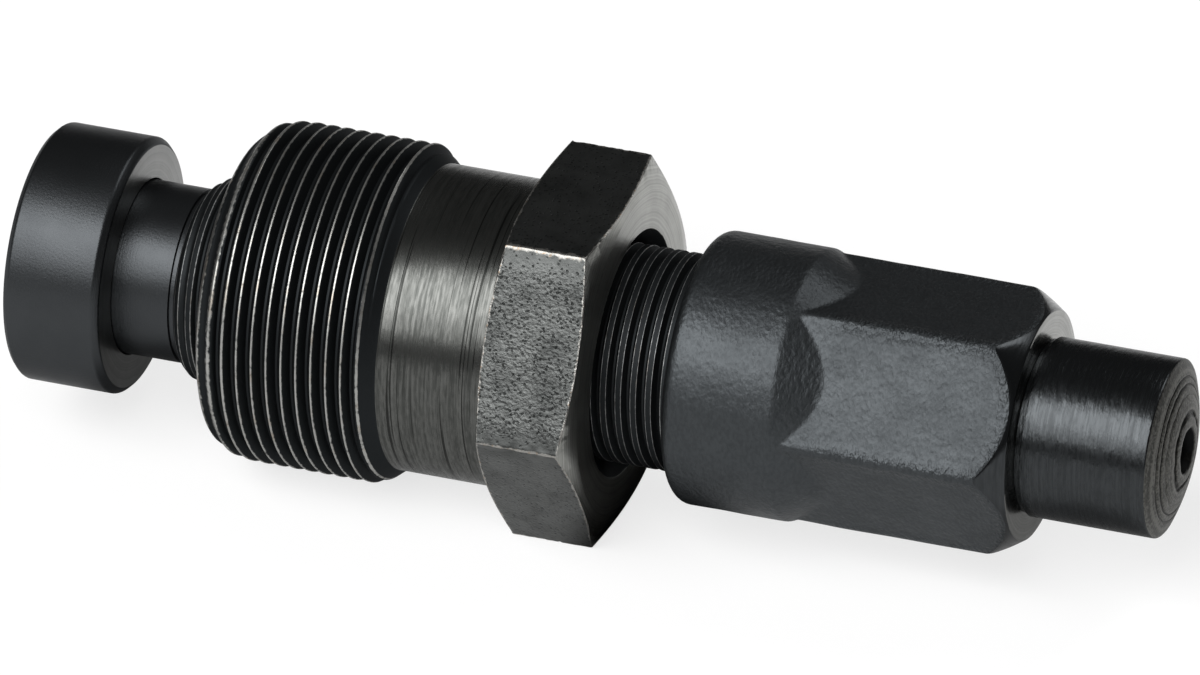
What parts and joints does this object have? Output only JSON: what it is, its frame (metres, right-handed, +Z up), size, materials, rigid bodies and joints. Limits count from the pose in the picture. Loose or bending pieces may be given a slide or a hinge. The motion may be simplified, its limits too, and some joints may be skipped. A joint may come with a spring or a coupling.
{
  "type": "bicycle crank puller",
  "caption": "Bicycle crank puller: hex-headed body with an external crank thread, and a hex-driven screw spindle running through it that pushes a swivelling press tip.",
  "frame": {"origin": "on the bench, under the middle of the overall length, below the tool's axis", "axes": "+X along the tool's axis from the press tip to the drive stub, +Z up from the flat of the body hexagon that it lies on"},
  "size_m": [0.0766, 0.0254, 0.022],
  "materials": {
    "turned_steel": "black oxide over turned steel, worn bright on edges and crests",
    "forged_steel": "black oxide over a forged, fine-pitted surface",
    "tip_steel": "smooth satin black oxide",
    "spring_steel": "plain drawn wire"
  },
  "bodies": {
    "body": {"puller_body": "turned_steel"},
    "ring": {"tip_snap_ring": "spring_steel"},
    "spindle": {"drive_spindle": "forged_steel"},
    "tip": {"press_tip": "tip_steel"}
  },
  "joints": [
    {"name": "spindle_feed", "type": "slide", "parent": "body", "child": "ring", "axis": [1, 0, 0], "range_m": [-0.0047, 0.0071]},
    {"name": "spindle_turn", "type": "hinge", "parent": "ring", "child": "spindle", "pos_m": [0, 0, 0.011], "axis": [1, 0, 0], "range_deg": [-1692, 2556]},
    {"name": "tip_swivel", "type": "hinge", "parent": "ring", "child": "tip", "pos_m": [-0.034, 0, 0.011], "axis": [1, 0, 0], "continuous": true}
  ],
  "couplings": [
    {"joint": "spindle_turn", "follows": "spindle_feed", "rad_per_m": 6283.2}
  ]
}
